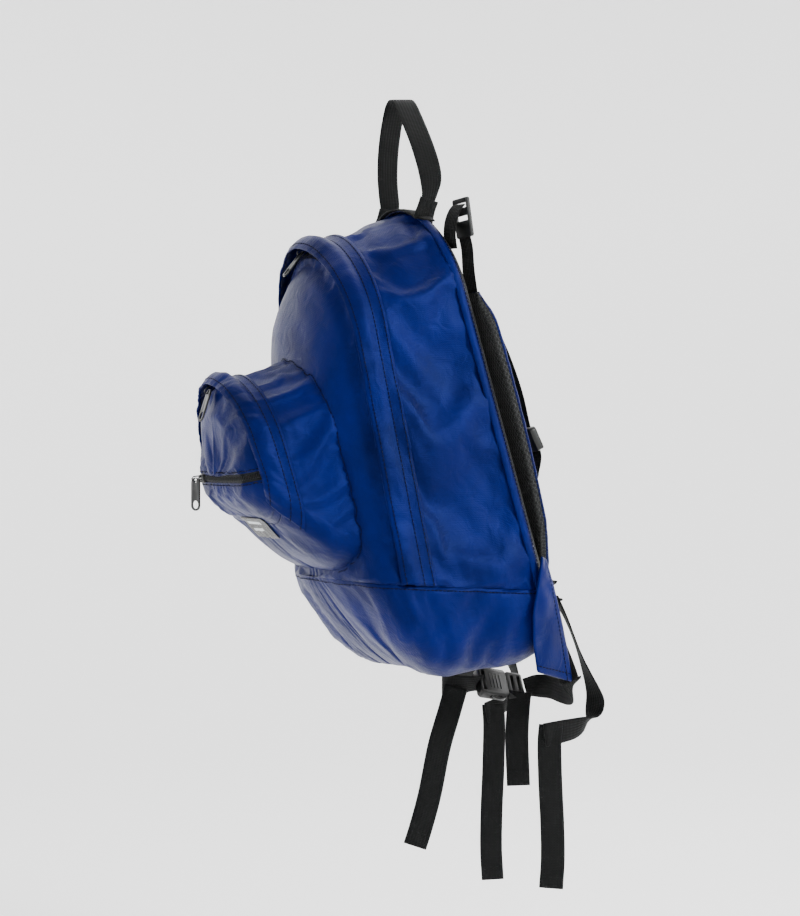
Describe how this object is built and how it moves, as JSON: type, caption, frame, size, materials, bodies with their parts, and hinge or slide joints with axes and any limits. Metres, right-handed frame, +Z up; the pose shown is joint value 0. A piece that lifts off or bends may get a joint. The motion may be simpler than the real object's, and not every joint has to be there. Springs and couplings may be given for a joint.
{
  "type": "daypack",
  "caption": "Teardrop hiking daypack hanging by its grab handle, with fold-down zipped front, domed front pocket, padded mesh shoulder straps, sternum strap and buckled waist belt.",
  "frame": {"origin": "where a hook bears under the top of the grab handle, with the pack hanging from it", "axes": "+Z up against gravity, -Y the pocket side, +Y the wearer side, +X the wearer right"},
  "size_m": [0.268, 0.4083, 0.8521],
  "materials": {
    "nylon": "coated plain-weave nylon",
    "webbing": "woven webbing",
    "mesh": "open hexagonal spacer mesh",
    "foam": "closed-cell foam",
    "zip_coil": "coil zip on woven tape",
    "black_plastic": "moulded acetal",
    "grey_plastic": "moulded nylon",
    "label": "woven patch"
  },
  "bodies": {
    "pack": {"back_panel": "mesh", "back_foam": "foam", "gusset_band": "nylon", "bottom_panel": "nylon", "main_storm_flap": "nylon", "main_zip_gusset_tape": "zip_coil", "back_binding": "webbing", "handle_anchor_right": "webbing", "handle_anchor_left": "webbing", "strap_top_webbing_right": "webbing", "strap_top_webbing_left": "webbing", "top_anchor_webbing_right": "webbing", "top_anchor_webbing_left": "webbing", "wing_right": "nylon", "wing_left": "nylon", "lower_webbing_right": "webbing", "lower_webbing_left": "webbing", "slack_webbing_right": "webbing", "slack_webbing_left": "webbing", "belt_webbing_right": "webbing", "belt_webbing_left": "webbing", "belt_socket": "black_plastic"},
    "front_door": {"front_panel": "nylon", "main_zip_panel_tape": "zip_coil", "pocket_gusset": "nylon", "pocket_arc_zip": "zip_coil", "pocket_face_lower": "nylon", "pocket_front_zip": "zip_coil", "pocket_face_upper": "nylon", "pocket_storm_flap": "nylon", "label_patch": "label"},
    "handle": {"grab_handle": "webbing"},
    "main_slider": {"main_slider": "black_plastic"},
    "main_pull": {"main_pull": "black_plastic"},
    "pocket_arc_slider": {"pocket_arc_slider": "black_plastic"},
    "pocket_arc_pull": {"pocket_arc_pull": "black_plastic"},
    "pocket_front_slider": {"pocket_front_slider": "black_plastic"},
    "pocket_front_pull": {"pocket_front_pull": "black_plastic"},
    "belt_plug": {"belt_plug": "black_plastic"},
    "strap_right": {"shoulder_strap_right": "mesh"},
    "strap_lock_right": {"strap_lock_right": "grey_plastic"},
    "top_lock_right": {"top_lock_right": "grey_plastic"},
    "sternum_right": {"sternum_webbing_right": "webbing", "sternum_tail_right": "webbing", "sternum_socket": "black_plastic"},
    "strap_tail_right": {"strap_tail_right": "webbing"},
    "belt_tail_right": {"belt_tail_right": "webbing"},
    "strap_left": {"shoulder_strap_left": "mesh"},
    "strap_lock_left": {"strap_lock_left": "grey_plastic"},
    "top_lock_left": {"top_lock_left": "grey_plastic"},
    "sternum_left": {"sternum_webbing_left": "webbing", "sternum_tail_left": "webbing", "sternum_plug": "black_plastic"},
    "strap_tail_left": {"strap_tail_left": "webbing"},
    "belt_tail_left": {"belt_tail_left": "webbing"}
  },
  "joints": [
    {"name": "front_door_fold", "type": "hinge", "parent": "pack", "child": "front_door", "pos_m": [0, -0.09409, -0.4963], "axis": [1, 0, 0], "range_deg": [0, 70]},
    {"name": "handle_fold", "type": "hinge", "parent": "pack", "child": "handle", "pos_m": [0, 0.005, -0.108], "axis": [1, 0, 0], "range_deg": [-30, 30]},
    {"name": "main_slider_travel", "type": "hinge", "parent": "pack", "child": "main_slider", "pos_m": [0, -0.08478, -0.25839], "axis": [0, -0.9864, -0.1643], "range_deg": [-20, 20]},
    {"name": "main_pull_swing", "type": "hinge", "parent": "main_slider", "child": "main_pull", "pos_m": [0, -0.11144, -0.16562], "axis": [-1, 0, 0], "range_deg": [0, 60]},
    {"name": "pocket_arc_slider_travel", "type": "hinge", "parent": "front_door", "child": "pocket_arc_slider", "pos_m": [0, -0.17774, -0.38056], "axis": [0, -0.9681, -0.2504], "range_deg": [-18, 18]},
    {"name": "pocket_arc_pull_swing", "type": "hinge", "parent": "pocket_arc_slider", "child": "pocket_arc_pull", "pos_m": [0, -0.2107, -0.30903], "axis": [-1, 0, 0], "range_deg": [0, 60]},
    {"name": "pocket_front_slider_travel", "type": "slide", "parent": "front_door", "child": "pocket_front_slider", "axis": [1, 0, 0], "range_m": [0, 0.094]},
    {"name": "pocket_front_pull_swing", "type": "hinge", "parent": "pocket_front_slider", "child": "pocket_front_pull", "pos_m": [-0.046, -0.20937, -0.39804], "axis": [-1, 0, 0], "range_deg": [0, 60]},
    {"name": "strap_swing_right", "type": "hinge", "parent": "pack", "child": "strap_right", "pos_m": [0.078, 0.04375, -0.20656], "axis": [1, 0, 0], "range_deg": [0, 12]},
    {"name": "strap_lock_tilt_right", "type": "hinge", "parent": "strap_right", "child": "strap_lock_right", "pos_m": [0.086, 0.12443, -0.50254], "axis": [1, 0, 0], "range_deg": [0, 25]},
    {"name": "top_lock_tilt_right", "type": "hinge", "parent": "pack", "child": "top_lock_right", "pos_m": [0.078, 0.03198, -0.11432], "axis": [1, 0, 0], "range_deg": [0, 20]},
    {"name": "sternum_swing_right", "type": "hinge", "parent": "strap_right", "child": "sternum_right", "pos_m": [0.088, 0.06363, -0.25307], "axis": [1, 0, 0], "range_deg": [0, 60]},
    {"name": "strap_tail_swing_right", "type": "hinge", "parent": "pack", "child": "strap_tail_right", "pos_m": [0.086, 0.13437, -0.66453], "axis": [0.4202, 0.9074, 0], "range_deg": [-25, 25]},
    {"name": "belt_tail_swing_right", "type": "hinge", "parent": "belt_plug", "child": "belt_tail_right", "pos_m": [0.014, 0.133, -0.645], "axis": [0.4202, 0.9074, 0], "range_deg": [-25, 25]},
    {"name": "strap_swing_left", "type": "hinge", "parent": "pack", "child": "strap_left", "pos_m": [-0.078, 0.04375, -0.20656], "axis": [1, 0, 0], "range_deg": [0, 12]},
    {"name": "strap_lock_tilt_left", "type": "hinge", "parent": "strap_left", "child": "strap_lock_left", "pos_m": [-0.086, 0.12443, -0.50254], "axis": [1, 0, 0], "range_deg": [0, 25]},
    {"name": "top_lock_tilt_left", "type": "hinge", "parent": "pack", "child": "top_lock_left", "pos_m": [-0.078, 0.03198, -0.11432], "axis": [1, 0, 0], "range_deg": [0, 20]},
    {"name": "sternum_swing_left", "type": "hinge", "parent": "strap_left", "child": "sternum_left", "pos_m": [-0.088, 0.06363, -0.25307], "axis": [1, 0, 0], "range_deg": [0, 60]},
    {"name": "strap_tail_swing_left", "type": "hinge", "parent": "pack", "child": "strap_tail_left", "pos_m": [-0.086, 0.15438, -0.66453], "axis": [0.4202, 0.9074, 0], "range_deg": [-25, 25]},
    {"name": "belt_tail_swing_left", "type": "hinge", "parent": "pack", "child": "belt_tail_left", "pos_m": [-0.002, 0.062, -0.634], "axis": [0.4202, 0.9074, 0], "range_deg": [-25, 25]},
    {"name": "belt_plug_travel", "type": "slide", "parent": "pack", "child": "belt_plug", "axis": [0, 0.9816, -0.1908], "range_m": [0, 0.024]}
  ]
}
